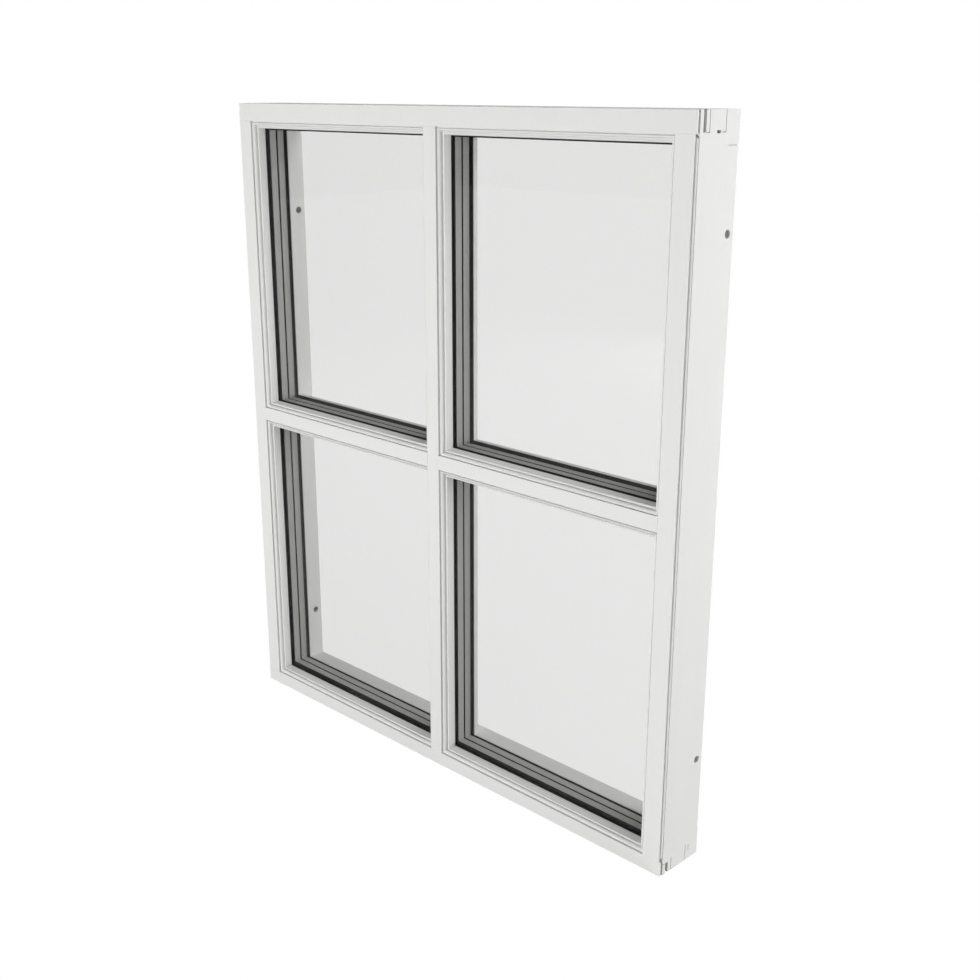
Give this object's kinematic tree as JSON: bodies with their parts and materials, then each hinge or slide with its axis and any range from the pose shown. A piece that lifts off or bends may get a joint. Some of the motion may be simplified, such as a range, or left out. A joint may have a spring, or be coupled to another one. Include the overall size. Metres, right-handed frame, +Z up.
{
  "type": "fixed picture window",
  "caption": "Fixed window with a mullion and a transom, deep timber frame, thin front cladding, moulded glazing beads and triple glazing",
  "frame": {"origin": "centre of the sill's underside", "axes": "+X runs across the window to the right seen from the front, +Y runs from the front face to the back, +Z is up"},
  "size_m": [1.188, 0.114, 1.348],
  "materials": {
    "painted_timber": "white satin paint",
    "front_cladding": "white matt powder coat",
    "glazing_bead": "white matt powder coat",
    "clear_glass": "clear float glass",
    "spacer_bar": "grey, dull",
    "black_gasket": "black, dull",
    "block_plastic": "dark moulded plastic"
  },
  "bodies": {
    "root": {"head": "painted_timber", "sill": "painted_timber", "left_jamb": "painted_timber", "right_jamb": "painted_timber", "mullion": "painted_timber", "left_transom": "painted_timber", "right_transom": "painted_timber", "head_cladding": "front_cladding", "sill_cladding": "front_cladding", "left_jamb_cladding": "front_cladding", "right_jamb_cladding": "front_cladding", "mullion_cladding": "front_cladding", "left_transom_cladding": "front_cladding", "right_transom_cladding": "front_cladding", "lower_left_bead_bottom": "glazing_bead", "lower_left_bead_left": "glazing_bead", "lower_left_bead_top": "glazing_bead", "lower_left_bead_right": "glazing_bead", "lower_right_bead_bottom": "glazing_bead", "lower_right_bead_left": "glazing_bead", "lower_right_bead_top": "glazing_bead", "lower_right_bead_right": "glazing_bead", "upper_left_bead_bottom": "glazing_bead", "upper_left_bead_left": "glazing_bead", "upper_left_bead_top": "glazing_bead", "upper_left_bead_right": "glazing_bead", "upper_right_bead_bottom": "glazing_bead", "upper_right_bead_left": "glazing_bead", "upper_right_bead_top": "glazing_bead", "upper_right_bead_right": "glazing_bead", "lower_left_glass": "clear_glass", "lower_right_glass": "clear_glass", "upper_left_glass": "clear_glass", "upper_right_glass": "clear_glass", "lower_left_spacers": "spacer_bar", "lower_right_spacers": "spacer_bar", "upper_left_spacers": "spacer_bar", "upper_right_spacers": "spacer_bar", "lower_left_gaskets": "black_gasket", "lower_right_gaskets": "black_gasket", "upper_left_gaskets": "black_gasket", "upper_right_gaskets": "black_gasket", "setting_blocks": "block_plastic"}
  },
  "joints": []
}
